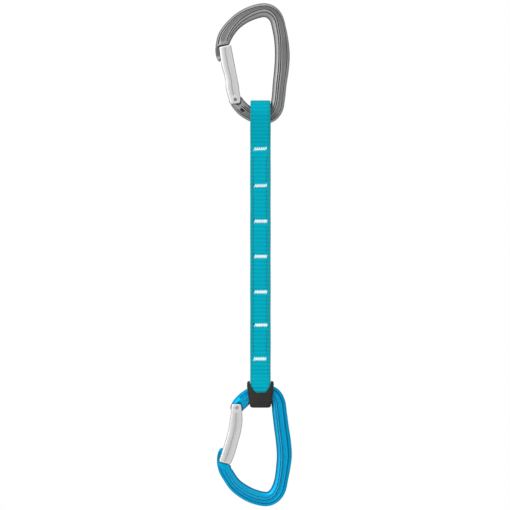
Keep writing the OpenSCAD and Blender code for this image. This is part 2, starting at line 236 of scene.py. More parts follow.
def along(points, step, fine=0.0):
    """Places and slopes on a curve, and how far along: evenly spaced, and closer over its fine ends."""
    t = np.linspace(0, len(points) - 1, CURVE_STEPS * len(points))
    place, _ = curve(points, t)
    gone = np.concatenate([[0], np.cumsum(np.linalg.norm(np.diff(place[:, :2], axis=0), axis=1))])
    length = gone[-1]
    ends = int(fine / step * FINER)
    s = np.concatenate([
        np.linspace(0, fine, ends, endpoint=False),
        np.linspace(fine, length - fine, int((length - 2 * fine) / step)),
        np.linspace(length - fine, length, ends + 1)[1:],
    ])
    place, slope = curve(points, np.interp(s, gone, t))
    return place, slope, s


def link(name, data):
    """A new object in the scene."""
    obj = bpy.data.objects.new(name, data)
    bpy.context.scene.collection.objects.link(obj)
    return obj


def mesh(name, verts, faces):
    """An object from points in millimetres, its faces turned outward."""
    data = bpy.data.meshes.new(name)
    data.from_pydata((np.asarray(verts, float) * MM).tolist(), [], faces)
    bm = bmesh.new()
    bm.from_mesh(data)
    bmesh.ops.recalc_face_normals(bm, faces=bm.faces)
    bm.to_mesh(data)
    bm.free()
    return link(name, data)


def loft(name, rings, closed=False):
    """A skin over rings of points, capped at both ends, or joined end to end if closed."""
    rings = np.asarray(rings, float)
    count, size = rings.shape[:2]
    faces = []
    for i in range(count if closed else count - 1):
        a, b = i * size, ((i + 1) % count) * size
        for j in range(size):
            k = (j + 1) % size
            faces.append((a + j, a + k, b + k, b + j))
    if not closed:
        faces.append(tuple(range(size - 1, -1, -1)))
        faces.append(tuple(range((count - 1) * size, count * size)))
    return mesh(name, rings.reshape(-1, 3), faces)


def prism(outline, y0, y1):
    """Rings of a flat outline in the XZ plane, made solid from y0 to y1."""
    return [[(x, y, z) for x, z in outline] for y in (y0, y1)]


def disc(radius):
    return [(radius * math.cos(a), radius * math.sin(a)) for a in full_turn(64)]


def apply_modifiers(obj):
    graph = bpy.context.evaluated_depsgraph_get()
    data = bpy.data.meshes.new_from_object(obj.evaluated_get(graph))
    old = obj.data
    obj.modifiers.clear()
    obj.data = data
    bpy.data.meshes.remove(old)


def carve(obj, *tools, operation="DIFFERENCE"):
    """Cuts tools from obj, or joins them to it, and removes them."""
    for tool in tools:
        cut = obj.modifiers.new("cut", "BOOLEAN")
        cut.operation = operation
        cut.solver = "EXACT"
        cut.object = tool
        apply_modifiers(obj)
        data = tool.data
        bpy.data.objects.remove(tool)
        bpy.data.meshes.remove(data)
    return obj


def shade(obj, sharp_degrees):
    """Smooth shading that keeps the sharp edges."""
    obj.data.shade_smooth()
    obj.data.set_sharp_from_angle(angle=math.radians(sharp_degrees))
    return obj


def write_vectors(obj, name, values):
    """Stores three numbers at each point of a mesh, for its material to read."""
    layer = obj.data.attributes.new(name, "FLOAT_VECTOR", "POINT")
    layer.data.foreach_set("vector", np.asarray(values, np.float32).reshape(-1))


def finish_piece(obj, body, material, node):
    """Gives a piece its material, hides the CAD node that it replaces, and hangs it on the body that it
    rides on.
    """
    obj.data.materials.clear()
    obj.data.materials.append(material)
    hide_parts(node)
    if body:
        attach(obj, body)
    return obj


# ---- carabiners

# Distance between rings along a bar and a gate, and the bar's ends where they lie closer
BAR_STEP, BAR_FINE_END = 0.6, 14
GATE_STEP = 0.4
# The ends of a bar and a gate turn square to the nose face over this length
BAR_TURNS_OVER, GATE_TURNS_OVER = 10.0, 4.0
# A bar's section lies between a circle and a box: height = (1 - u ** power) ** round
SECTION_POWER, SECTION_ROUND = 2.9, 0.52
# The edges of a nose and of a gate's ends are rounded by this much
NOSE_ROUND, GATE_ROUND = 0.9, 1.5
# How wide a channel's edge is, and where the painted highlight on its lip lies outside it
EDGE_SOFT = 0.55
LIP_AT, LIP_W = 0.22, 0.26
# Where painted shade darkens a nose's shoulder by the gap to the gate: this far from its end, up to this
# share of its half width
SHOULDER_L, SHOULDER_TO = 0.9, 0.62
# A bar's inner rim, as shares of the half width: where its painted highlight lies, where painted shade
# darkens its edge, how much, how softly
RIM_AT, RIM_DARK_FROM, RIM_PAINTED_SHADE, RIM_SOFT = -0.7, -0.82, 0.6, 0.1
# A carved piece's point keeps the shades of a skin point this near
SHADE_REACH = 0.25
# The opening gate's sweep: its steps in degrees, and its largest radius
SWEEP_STEP, SWEEP_R = 1.5, 16
# Exponent that squares off the tongue's section
TONGUE_SQUARE = 0.35
# The inner side of the tongue, both sides of its slot, and the slot's extra room
TONGUE_IN, SLOT_IN, SLOT_OUT = -0.8, -0.4, -14.0
NECK_ROOM, BULB_ROOM = 0.6, 0.4
# The tang's flat: its corners' x, its top, and a half depth that cuts right through
FLAT_X, FLAT_TOP, FLAT_DEEP = (-8, 5.5, 5.5, -8), 9, 3.0
# Angles, in degrees, above which an edge shows as sharp
FRAME_SHARP, GATE_SHARP, THREAD_SHARP = 62, 50, 60


def hang(c, points):
    """From a carabiner's own drawing to the row frame."""
    points = np.array(points, float)
    if c["hangs"]:
        points[..., 2] = ROPE_SEAT - points[..., 2]
    return points


def place_at_rivet(c, x, y, z, lean=0.0):
    """Points drawn about the rivet, leaned as the gate leans."""
    a = math.radians(lean)
    px = c["rivet"][0] + x * math.cos(a) - z * math.sin(a)
    pz = c["rivet"][1] + x * math.sin(a) + z * math.cos(a)
    return np.stack(np.broadcast_arrays(px, y, pz), axis=-1)


def outward(slope):
    return unit(np.stack([-slope[:, 1], slope[:, 0]], axis=1))


def across(c, slope, s, turns_over):
    """The outward direction along a bar or gate, turned square to the nose face at that end."""
    n = outward(slope)
    lean = math.radians(c["nose_lean"])
    square = np.array([-math.cos(lean), -math.sin(lean)])
    share = np.clip(1 - s / turns_over, 0, 1)[:, None]
    return unit(n * (1 - share) + square * share)


def face_steps(count):
    """Steps across a face, from -1 to 1, closer together near the edges."""
    x = np.linspace(-1, 1, count)
    return (3 * x - x**3) / 2


def rounding(s, radius):
    """How far a rounded edge lies inside a square one, at a distance s from the end."""
    return radius - np.sqrt(np.maximum(radius**2 - np.maximum(radius - s, 0) ** 2, 0))


def channel_edges(c, channel, s):
    """A channel's inner and outer edges at each distance along the bar."""
    marks = c["marks"]
    return [np.interp(s, marks, np.broadcast_to(channel[key], len(marks))) for key in ("inner", "outer")]


def face_columns(c, s, steps=12):
    """Columns across a bar's face, from -1 to 1, that follow the channels' edges and crowd near them."""
    edges = [np.full_like(s, -1), np.ones_like(s)]
    for channel in c["channels"]:
        if channel["nose"] > 0:
            edges += channel_edges(c, channel, s)
    edges = np.sort(np.stack(edges, axis=1), axis=1)
    share = smooth(np.arange(steps) / steps)
    columns = edges[:, :-1, None] + np.diff(edges, axis=1)[:, :, None] * share
    return np.column_stack([columns.reshape(len(s), -1), np.ones_like(s)])


def forge(c, u, half_width, s, length):
    """For each point of a face: the depth of the channels in mm, their painted shade and the painted
    highlight on their lips.
    """
    depth, tone, lips = (np.zeros_like(u) for _ in range(3))
    for channel in c["channels"]:
        inner, outer = channel_edges(c, channel, s)
        start = channel["nose"] if channel["nose"] > 0 else length + channel["nose"]
        middle, half = (inner + outer) / 2 * half_width, (outer - inner) / 2 * half_width
        side = np.abs(u * half_width - middle) - half
        end = np.maximum(start - s, s - (length - channel["hinge"]))
        corner = half * 0.9
        over = np.hypot(np.maximum(side + corner, 0), np.maximum(end + corner, 0))
        outside = over + np.minimum(np.maximum(side, end) + corner, 0) - corner
        share = smooth(0.5 - outside / EDGE_SOFT)
        depth = np.maximum(depth, channel["depth"] * share)
        # Painted shade fills each channel, and a painted highlight runs along its lip
        tone = np.maximum(tone, channel["tone"] * share)
        lips = np.maximum(lips, channel["lip"] * bell((outside - LIP_AT) / LIP_W))
    return depth, tone, lips


def both_faces(front, back):
    """Rings that run over a front face, and back over the back face."""
    return np.concatenate([front, back[:, -2:0:-1]], axis=1)


def face_shades(tone, lips):
    """What a material reads at each point of both faces: its painted shade, and the painted highlight on
    its lips.
    """
    face = np.stack([tone, lips, np.zeros_like(tone)], axis=-1)
    return both_faces(face, face)


def bar_skin(c):
    """The forged bar: a rounded section with channels in both faces, and softened nose edges."""
    place, slope, s = along(c["bar"], BAR_STEP, fine=BAR_FINE_END)
    n = across(c, slope, s, BAR_TURNS_OVER)
    half = place[:, 2:3] / 2
    u = face_columns(c, s)
    depth, tone, lips = forge(c, u, half, s[:, None], s[-1])
    crown = FRAME_T / 2 * (1 - np.abs(u) ** SECTION_POWER) ** SECTION_ROUND
    inset = rounding(s, NOSE_ROUND)[:, None]
    height = np.maximum(crown - depth, 0) * (1 - inset / (FRAME_T / 2))
    # Painted shade on the nose's shoulder and along the inner edge, and a painted highlight on the inner
    # rim
    shoulder = smooth((SHOULDER_L - s[:, None]) / 0.3) * smooth((SHOULDER_TO - u) / 0.1)
    rim_painted_shade = RIM_PAINTED_SHADE * smooth((RIM_DARK_FROM - u) / RIM_SOFT)
    tone = np.maximum(np.maximum(tone, c["shoulder"] * shoulder), rim_painted_shade)
    lips = np.maximum(lips, c["rim"] * bell((u - RIM_AT) / RIM_SOFT))
    x, z = (place[:, k:k + 1] + n[:, k:k + 1] * u * (half - inset) for k in (0, 1))
    front, back = (np.stack([x, y, z], axis=-1) for y in (-height, height))
    return hang(c, both_faces(front, back)), face_shades(tone, lips)


def tongue_painted_shade(c, points):
    """The painted shade on a frame's cut faces and tongue, lighter over the tongue's bulb."""
    lean = math.radians(c["nose_lean"])
    rivet = hang(c, place_at_rivet(c, 0, 0, 0))
    up = np.array([-math.sin(lean), 0, -math.cos(lean) if c["hangs"] else math.cos(lean)])
    past_bulb = (points - rivet) @ up - (c["reach"] + GATE_GAP - TONGUE_L + 2 * BULB_R)
    return c["inside"] * (1 - smooth(-past_bulb / 2.5) * smooth((past_bulb + 8) / 2))


def keep_shades(obj, skin, shades, c=None):
    """Gives a carved piece the shades of the skin it was cut from, and painted shade to its cut faces."""
    points = skin.reshape(-1, 3) * MM
    tree = KDTree(len(points))
    for i, point in enumerate(points):
        tree.insert(point, i)
    tree.balance()
    shades = shades.reshape(-1, 3)
    places = np.empty(len(obj.data.vertices) * 3, np.float32)
    obj.data.vertices.foreach_get("co", places)
    values = np.zeros((len(places) // 3, 3), np.float32)
    if c:
        values[:, 0] = tongue_painted_shade(c, places.reshape(-1, 3) / MM)
    for vertex in obj.data.vertices:
        _, nearest, distance = tree.find(vertex.co)
        if distance < SHADE_REACH * MM:
            values[vertex.index] = shades[nearest]
    # The attribute holds each point's painted shade and painted highlight, which the material reads
    write_vectors(obj, "forged", values)


def gate_edge(c, count=240):
    """The gate's outline about the rivet, as an angle and a radius for each point."""
    place, slope = curve(c["gate"], np.linspace(0, len(c["gate"]) - 1, count))
    n = outward(slope)
    sides = [place[:, :2] + side * n * place[:, 2:3] / 2 for side in (1, -1)]
    ends = [np.linspace(sides[0][i], sides[1][i], 20) for i in (0, -1)]
    points = np.vstack(sides + ends)
    return np.arctan2(points[:, 1], points[:, 0]), np.hypot(points[:, 0], points[:, 1])


def hinge_clearance(c):
    """What the opening gate sweeps round its rivet, as an outline."""
    angle, radius = gate_edge(c)
    look = np.radians(np.arange(0, 360, SWEEP_STEP))
    reach = np.zeros(len(look))
    for turn in np.radians(np.arange(0, GATE_OPEN + 1)):
        turned = (angle - turn) % (2 * math.pi)
        order = np.argsort(turned)
        reach = np.maximum(reach, np.interp(look, turned[order], radius[order], period=2 * math.pi))
    reach = np.minimum(reach + GATE_GAP, SWEEP_R)
    return np.stack([reach * np.cos(look), reach * np.sin(look)], axis=1)


def at_rivet(c, outline, y0, y1, lean=0.0):
    """A prism from an outline drawn about the rivet."""
    outline = np.asarray(outline, float)
    rings = [place_at_rivet(c, outline[:, 0], y, outline[:, 1], lean) for y in (y0, y1)]
    return loft("tool", hang(c, rings))


def key_profile(c, neck, bulb):
    """Half thickness at each radius from the rivet, over the nose tongue's length."""
    bulb_at = c["reach"] + GATE_GAP - TONGUE_L + BULB_R
    radius = np.concatenate([
        bulb_at - bulb * np.cos(np.linspace(0, math.pi * 0.78, 22)),
        np.linspace(bulb_at + bulb * 0.9, c["reach"] + 2.2, 12),
    ])
    round_part = np.sqrt(np.maximum(bulb**2 - (radius - bulb_at) ** 2, 1e-4))
    return radius, np.maximum(round_part, np.where(radius > bulb_at, neck / 2, 0))


def tongue_rings(c, neck, bulb, edge_at, inner):
    """Rounded slices of the nose tongue, from its tip to its root."""
    radius, half_t = key_profile(c, neck, bulb)
    cosine, sine = squared_circle(28, TONGUE_SQUARE)
    rings = []
    for r, h in zip(radius, half_t):
        outer = edge_at(r)
        middle, half = (outer + inner) / 2, (inner - outer) / 2
        x = middle + half * cosine
        rings.append(place_at_rivet(c, x, h * sine, np.sqrt(r**2 - x**2), c["nose_lean"]))
    return hang(c, rings)


def nose_tongue(c):
    """The tongue on the nose, whose outer edge swells a little and then narrows to its tip."""
    foot = c["reach"] + GATE_GAP
    edge = c["nose_shift"] + c["bar"][0][2] / 2
    past = [-1.2, 0.4, 5, 8, 10.2, 11.2, TONGUE_L]
    out = [edge - 1.2, edge, edge + 0.6, edge + 0.45, edge - 0.1, edge - 0.7, edge - 1.4]
    line, _ = curve(list(zip(past, out)), np.linspace(0, len(past) - 1, 60))
    rings = tongue_rings(c, NECK_T, BULB_R, lambda r: -np.interp(foot - r, *line.T), TONGUE_IN)
    return loft("tongue", rings)


def tang(c, bar):
    """The flat lug that the gate turns on, with the root of the bar behind it."""
    half = TANG_T / 2
    root = link("root", bar.data.copy())
    carve(root, at_rivet(c, disc(SLOT_R - RUN_GAP), -half, half), operation="INTERSECT")
    return carve(root, at_rivet(c, disc(TANG_R), -half, half), operation="UNION")


def frame_piece(name, c, body, material, node):
    rings, shades = bar_skin(c)
    obj = loft(name, rings)
    lug = tang(c, obj)
    carve(obj, at_rivet(c, hinge_clearance(c), -FRAME_T, FRAME_T))
    carve(obj, lug, nose_tongue(c), operation="UNION")
    flat = list(zip(FLAT_X, (TANG_FLAT, TANG_FLAT, FLAT_TOP, FLAT_TOP)))
    carve(obj, at_rivet(c, flat, -FLAT_DEEP, FLAT_DEEP, c["hinge_lean"]))
    carve(obj, at_rivet(c, disc(RIVET_R + RUN_GAP), -FRAME_T, FRAME_T))
    keep_shades(obj, rings, shades, c)
    return finish_piece(shade(obj, FRAME_SHARP), body, material, node)


# ---- gates

# A gate's face is mostly a flat with round edges, and partly a gentle crown
FLAT_SHARE, FLAT_POWER, CROWN_POWER = 0.8, 24, 4
# Each face's crease: its depth, its half width, and the half width of the band of painted shade round it
CREASE, CREASE_W, SHADE_BAND_W = 0.1, 0.1, 0.45
# The crease starts this far past the rivet
CREASE_PAST = 5.0
# A rivet's head, as [radius, height above the gate's face] from its middle out
RIVET_SUNK = 0.05
RIVET_HEAD = [[0.0, 0.1], [0.35, 0.14], [0.75, 0.24], [1.15, 0.2], [1.42, 0.05], [RIVET_R, -0.25]]


def gate_rings_along(c):
    """A gate's places, outward directions and distances, with rings added where its ends are rounded."""
    place, slope, s = along(c["gate"], GATE_STEP)
    length = s[-1]
    n = across(c, slope, length - s, GATE_TURNS_OVER)
    corners = np.linspace(0, 1, 7)[1:-1] * GATE_ROUND
    s_all = np.unique(np.concatenate([s, corners, length - corners]).round(4))
    place, n = (np.stack([np.interp(s_all, s, row) for row in rows.T], axis=1) for rows in (place, n))
    return place, n, s_all[:, None], np.minimum(s_all, length - s_all)[:, None]


def gate_skin(c):
    """A solid gate: flat sides with round edges, a crease down each face, and softened ends."""
    place, n, s, to_end = gate_rings_along(c)
    u = np.broadcast_to(face_steps(73), (len(s), 73))
    inset = rounding(to_end, GATE_ROUND)
    flat, rounded = ((1 - np.abs(u) ** power) ** 0.5 for power in (FLAT_POWER, CROWN_POWER))
    crown = GATE_T / 2 * (FLAT_SHARE * flat + (1 - FLAT_SHARE) * rounded)
    past_rivet = smooth((s - RIVET_R - CREASE_PAST) / 2) * smooth((to_end - 0.5) / 2)
    crease, painted_band = (bell(u / width) * past_rivet for width in (CREASE_W, SHADE_BAND_W))
    height = np.maximum(crown - crease * CREASE - inset * 0.6, 0)
    x, z = (place[:, k:k + 1] + n[:, k:k + 1] * u * (place[:, 2:3] / 2 - inset) for k in (0, 1))
    front, back = (place_at_rivet(c, x, y, z) for y in (-height, height))
    # Painted shade: along the crease, in a band round it, and along both edges
    left_edge = 0.34 * smooth((u - 0.84) / 0.12)
    right_edge = 0.44 * smooth((-u - 0.74) / 0.22)
    tone = 0.28 * crease + 0.2 * painted_band + left_edge + right_edge
    return hang(c, both_faces(front, back)), face_shades(tone, np.zeros_like(tone))


def plunger_bore(c):
    cosine, sine = squared_circle(32)
    radius = PLUNGER_R + RUN_GAP
    rings = [
        place_at_rivet(c, PLUNGER_IN + radius * cosine, radius * sine, z, c["hinge_lean"])
        for z in (0, PLUNGER_BORE)
    ]
    return loft("bore", hang(c, rings))


def key_slot(c):
    rings = tongue_rings(c, NECK_T + NECK_ROOM, BULB_R + BULB_ROOM, lambda r: SLOT_OUT, SLOT_IN)
    return loft("slot", rings)


def gate_piece(name, c, body, material, node):
    rings, shades = gate_skin(c)
    obj = loft(name, rings)
    slot_half = TANG_T / 2 + SLOT_GAP
    carve(obj, at_rivet(c, disc(SLOT_R), -slot_half, slot_half))
    carve(obj, at_rivet(c, disc(RIVET_R), -GATE_T, GATE_T), plunger_bore(c), key_slot(c))
    keep_shades(obj, rings, shades)
    return finish_piece(shade(obj, GATE_SHARP), body, material, node)


def rivet_piece(name, c, body, material, node):
    """A peened rivet: a shank with a low dome and a small dimple at each end."""
    half = GATE_T / 2 - RIVET_SUNK
    profile = [(r, half + h) for r, h in RIVET_HEAD] + [(r, -half - h) for r, h in RIVET_HEAD[::-1]]
    cosine, sine = squared_circle(48)
    rings = [place_at_rivet(c, max(r, 0.02) * cosine, y, max(r, 0.02) * sine) for r, y in profile]
    obj = loft(name, hang(c, rings))
    return finish_piece(shade(obj, GATE_SHARP), body, material, node)


# ---- the sling

# The band: half its thickness, its cross ribs' spacing, and their height, with more near its neck
HALF_PLY = 0.79
RIB_PERIOD = 3.25
RIB_H, NECK_RIB_H = 0.055, 0.11
NECK_RIBS_FROM, NECK_RIBS_OVER = -285, 14
# The band's edges wander by this share of its width, once in this length
EDGE_WANDER, WANDER_L = 0.006, 7.3
# The band's width at heights: gathered in its grip, full, and a little narrower round the upper eye
WIDTH_AT_Z = [[-330, GRIP_W], [-318, GRIP_W], [-306, SLING_W], [-95, SLING_W], [-80, SLING_W - 0.35]]
# Radius of the band's inner corners at its foot
FOOT_R = 3.0

# Seams: their places across the band, their ends, their stitches, and how deep they press
SEAM_X = {"left": -6.1, "right": 5.2}
SEAM_TOP, SEAM_FOOT = TACK_Z[0] - 6, TACK_Z[-1] + 3
STITCH_PERIOD, STITCH_SHARE, STITCH_R = 3.1, 0.88, 0.27
SEAM_DIP, SEAM_DIP_W = 0.22, 0.55

# Bar tacks: how far each is off the band's middle, how deep they press, and their zigzag's slant
TACK_SHIFT = [0.0, 0.3, 0.5, 0.3, 0.4, 0.6, -0.3]
TACK_DIP, TACK_DIP_AREA = 0.3, 1.2
DEEPEST_DIP = 0.34
STROKE_LEAN = 0.34
# The first tacks have fewer strokes than the rest, and climb to the right
LOOSE_TACKS, LOOSE_STROKES, TIGHT_STROKES, LOOSE_CLIMB = 2, 12, 15, 0.5
UNDERLAY_Z, UNDERLAY_R = (-0.6, 0.5), 0.24


def side_line():
    """The middle of the front ply seen from the side, [y, z] from the foot of the sling to its top."""
    half = PLY / 2
    eye_z = EYE_TOP - PLY - EYE_R
    eye_r = EYE_R + half
    back = math.hypot(half, eye_z - EYE_END)
    lowest = math.atan2(EYE_END - eye_z, -half) % (2 * math.pi) - math.acos(eye_r / back)
    turn = np.linspace(1.5 * math.pi, math.pi, 12)
    over = np.linspace(lowest, math.pi / 2, 40)
    foot_y = FOOT_R - GRIP_R + (FOOT_R + half) * np.cos(turn)
    foot_z = GRIP_IN + FOOT_R + (FOOT_R + half) * np.sin(turn)
    eye = np.stack([eye_r * np.cos(over), eye_z + eye_r * np.sin(over)], axis=1)
    return np.vstack([
        [[0, GRIP_IN - half]], np.stack([foot_y, foot_z], axis=1),
        [[-GRIP_R - half, GRIP_TOP], [-half, NECK_END], [-half, EYE_END]], eye,
    ])


def soften_line(line, rounds):
    """Rounds the corners of a closed line of evenly spaced points."""
    for _ in range(rounds):
        line = (np.roll(line, 1, axis=0) + line * 2 + np.roll(line, -1, axis=0)) / 4
    return line


def band_line(step=0.4):
    """The whole band once round, evenly spaced: up the front and down the back."""
    front = side_line()
    back = front[-2:0:-1] * [-1, 1]
    line = np.vstack([front, back, front[:1]])
    gone = np.concatenate([[0], np.cumsum(np.linalg.norm(np.diff(line, axis=0), axis=1))])
    count = int(gone[-1] / step)
    s = np.arange(count) * gone[-1] / count
    line = np.stack([np.interp(s, gone, line[:, k]) for k in (0, 1)], axis=1)
    return soften_line(line, 12), s, gone[-1]


def band_width(z):
    return np.interp(z, *np.transpose(WIDTH_AT_Z))


def pressed_in(x, z):
    """How far the stitching pulls the webbing's face in, in mm."""
    dip = np.zeros_like(x)
    sewn = smooth((SEAM_TOP - z) / 3) * smooth((z - SEAM_FOOT) / 3)
    for middle in SEAM_X.values():
        dip += SEAM_DIP * bell((x - middle) / SEAM_DIP_W) * sewn
    for tack_z, shift in zip(TACK_Z, TACK_SHIFT):
        beside = np.maximum(np.abs(x - shift) - TACK_W / 2, 0)
        above = np.maximum(np.abs(z - tack_z) - TACK_H / 2, 0)
        dip += TACK_DIP * np.exp(-((beside**2 + above**2) / TACK_DIP_AREA))
    return np.minimum(dip, DEEPEST_DIP)


def band_faces(line, s, length):
    """Across the band: x, and how far its outer and inner faces stand from its middle."""
    z = line[:, 1:2]
    face = face_steps(45)[None, :]
    x = band_width(z) / 2 * face * (1 + EDGE_WANDER * np.sin(s / WANDER_L)[:, None])
    bevel = HALF_PLY * np.sqrt(1 - np.abs(face) ** 16)
    ribs = round(length / RIB_PERIOD)
    rib = np.cos(2 * math.pi * ribs * s / length)[:, None]
    near_neck = smooth((NECK_RIBS_FROM - z) / NECK_RIBS_OVER)
    crest = (RIB_H + NECK_RIB_H * near_neck) * rib * (1 - face**10)
    sewn = smooth((z - GRIP_IN - 0.7) / 4) * smooth((EYE_END - 2 - z) / 4)
    return x, bevel + crest - pressed_in(x, z) * sewn, np.broadcast_to(-bevel, x.shape)


def webbing_piece(material):
    line, s, length = band_line()
    out = outward(np.roll(line, -1, axis=0) - np.roll(line, 1, axis=0))
    x, outer, inner = band_faces(line, s, length)
    along_band = np.broadcast_to(s[:, None], x.shape)
    rings, cloth = [], []
    for sideways, height in ((x, outer), (x[:, ::-1], inner[:, ::-1])):
        y, z = (line[:, k:k + 1] + out[:, k:k + 1] * height for k in (0, 1))
        rings.append(np.stack([SLING_X + sideways, y, z], axis=-1)[:, :-1])
        cloth.append(np.stack([sideways, along_band, np.zeros_like(x)], axis=-1)[:, :-1])
    obj = loft("sewn_webbing", np.concatenate(rings, axis=1), closed=True)
    write_vectors(obj, "cloth", np.concatenate(cloth, axis=1))
    obj.data.shade_smooth()
    finish_piece(obj, None, material, "sling_webbing")
    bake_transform(obj)


def tube(points, radius, facing=(0.0, 1.0, 0.0)):
    """Rings of a thread or wire round a line of points, which never runs along facing."""
    points = np.asarray(points, float)
    forward = unit(np.gradient(points, axis=0))
    side = unit(np.cross(forward, facing))
    up = np.cross(side, forward)
    cosine, sine = (part[None, :, None] for part in squared_circle(8))
    radius = np.broadcast_to(radius, len(points))[:, None, None]
    return points[:, None] + (side[:, None] * cosine + up[:, None] * sine) * radius


def join(name, tubes):
    """One object from many tubes."""
    verts, faces = [], []
    start = 0
    for rings in tubes:
        count, size = rings.shape[:2]
        for i in range(count - 1):
            for j in range(size):
                a, b = start + i * size + j, start + i * size + (j + 1) % size
                faces.append((a, b, b + size, a + size))
        last = start + (count - 1) * size
        faces.append(tuple(start + j for j in reversed(range(size))))
        faces.append(tuple(last + j for j in range(size)))
        verts.append(rings.reshape(-1, 3))
        start = last + size
    return shade(mesh(name, np.vstack(verts), faces), THREAD_SHARP)


def spring_piece(name, c, body, material, node):
    """A gate's coil spring, drawn at one length; the real one shortens as the gate opens and its plunger
    slides back.
    """
    start = TANG_FLAT + PLUNGER_R + PLUNGER_L + 2 * WIRE_R
    turn = np.linspace(0, 2 * math.pi * SPRING_TURNS, 24 * SPRING_TURNS)
    coil_r = PLUNGER_R - WIRE_R - RUN_GAP
    height = start + SPRING_L * np.linspace(0, 1, len(turn))
    x = PLUNGER_IN + coil_r * np.cos(turn)
    line = hang(c, place_at_rivet(c, x, coil_r * np.sin(turn), height, c["hinge_lean"]))
    seat, head = hang(c, place_at_rivet(c, PLUNGER_IN, 0, height[[-1, 0]], c["hinge_lean"]))
    axis = (head - seat) / np.linalg.norm(head - seat)
    obj = join(name, [tube(line, WIRE_R, facing=axis)])
    finish_piece(obj, body, material, node)
    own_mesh(obj)


def lock_stitch(x, z, face):
    """One stitch of a seam, slanted a little, with both ends pulled into the webbing."""
    bow = np.linspace(-1, 1, 9)
    y = face * (PLY - 0.32 + 0.22 * (1 - bow**4))
    line = np.stack([x + 0.12 * bow, y, z - bow * STITCH_PERIOD * STITCH_SHARE / 2], axis=1)
    return tube(line, STITCH_R * np.sqrt(1 - (0.92 * bow) ** 6))


def seam_piece(side, material):
    """A row of lock stitches down each face. The right one is broken where a bar tack covers it."""
    stitches = []
    for face in (-1, 1):
        for k in range(int((SEAM_TOP - SEAM_FOOT) / STITCH_PERIOD)):
            z = SEAM_TOP - (k + 0.5) * STITCH_PERIOD
            covered = any(abs(z - tack_z) < TACK_H / 2 + 1.0 for tack_z in TACK_Z)
            if side == "left" or not covered:
                stitches.append(lock_stitch(SLING_X + SEAM_X[side], z, face))
    piece = join(f"{side}_lock_stitches", stitches)
    finish_piece(piece, "sling", material, f"{side}_seam")


def zigzag_corners(index, face):
    """Where a bar tack's thread turns, [x, z], a little uneven from turn to turn."""
    rough = np.random.default_rng(10 * index + (face > 0))
    loose = index < LOOSE_TACKS
    strokes = LOOSE_STROKES if loose else TIGHT_STROKES
    half_height = TACK_H / 2 - THREAD_R
    corners = []
    for k in range(strokes + 1):
        share = k / strokes - 0.5
        up = 1 if k % 2 else -1
        tall = half_height * (1 - 0.16 * rough.random())
        climb = LOOSE_CLIMB * share if loose else 0.0
        x = SLING_X + TACK_SHIFT[index] + share * (TACK_W - 2 * THREAD_R) + up * STROKE_LEAN
        corners.append((x, TACK_Z[index] + up * tall + climb))
    return corners


def zigzag(index, face):
    """One face of a bar tack: slanted thread strokes that dive into the webbing at each turn."""
    corners = zigzag_corners(index, face)
    line = []
    for (x0, z0), (x1, z1) in zip(corners, corners[1:]):
        for t in np.linspace(0, 1, 7)[:-1]:
            arch = math.sin(math.pi * t) ** 0.6
            line.append((x0 + (x1 - x0) * t, face * (PLY - 0.35 + 0.42 * arch), z0 + (z1 - z0) * t))
    return tube(line, THREAD_R)


def underlay(index, face):
    """The straight threads that the zigzag is sewn over."""
    half = TACK_W / 2 - 0.5
    middle = SLING_X + TACK_SHIFT[index]
    for z in UNDERLAY_Z:
        x = np.linspace(-half, half, 12)
        y = face * (PLY - 0.26 - 0.5 * np.abs(x / half) ** 8)
        line = np.stack([middle + x, y, TACK_Z[index] + z + 0.08 * np.sin(3 * x)], axis=1)
        yield tube(line, UNDERLAY_R)


def tack_piece(index, material):
    threads = []
    for face in (-1, 1):
        threads += [zigzag(index, face), *underlay(index, face)]
    piece = join(f"bar_tack_thread_{index + 1}", threads)
    finish_piece(piece, "sling", material, f"bar_tack_{index + 1}")


# ---- the keeper

KEEPER_TOP, KEEPER_FOOT = -305.7, -327.8
KEEPER_WALLS = [
    # z, half width, half depth
    [KEEPER_FOOT, 7.4, 5.6], [KEEPER_FOOT + 0.5, 8.2, 6.6], [KEEPER_FOOT + 1.5, 8.9, 7.3],
    [KEEPER_FOOT + 4, 9.4, 7.9], [-320, 10.1, 8.2], [-315, 11.1, 8.2], [-311, 11.3, 7.8],
    [-308, 11.3, 6.9], [-306.6, 11.1, 6.0], [KEEPER_TOP, 10.4, 5.0],
]
# The room for the sling's lower eye
EYE_ROOM_WALLS = [
    [-326.8, 7.2, 6.0], [-325.6, 7.2, 6.5], [-318, 7.3, 6.5], [-309, 8.9, 6.5], [-300, 8.9, 4],
]
WALL_SQUARE, EYE_ROOM_SQUARE = 4.5, 8
# Clearance round the lower carabiner's bar, and the point of that bar where the corridor starts
BAR_ROOM = 0.35
CORRIDOR_FROM = 14
# The notch between the ears, from the front
NOTCH = [
    [-8.8, -300], [-8.8, -306.8], [-8.0, -309.4], [-4.7, -314.1], [-3.8, -314.8],
    [3.6, -314.8], [4.5, -314.2], [7.9, -309.9], [8.7, -306.8], [8.7, -300],
]
# From NOTCH_DEEP to NOTCH_FACE off the middle, its rim opens by NOTCH_SIDE and NOTCH_DOWN
NOTCH_DEEP, NOTCH_FACE = 6.8, 12.0
NOTCH_SIDE, NOTCH_DOWN = 2.31, 3.57
# The voxels and the smoothing that soften the moulded edges
VOXEL, SMOOTHINGS = 0.28, 6


def keeper_walls(name, walls, power):
    """A squared-off form: each of its walls is a height, a half width and a half depth."""
    x, y = squared_circle(72, 2 / power)
    rings = []
    for z, half_x, half_y in walls:
        rings.append(np.stack([SLING_X + x * half_x, y * half_y, np.full_like(x, z)], axis=1))
    return loft(name, rings)


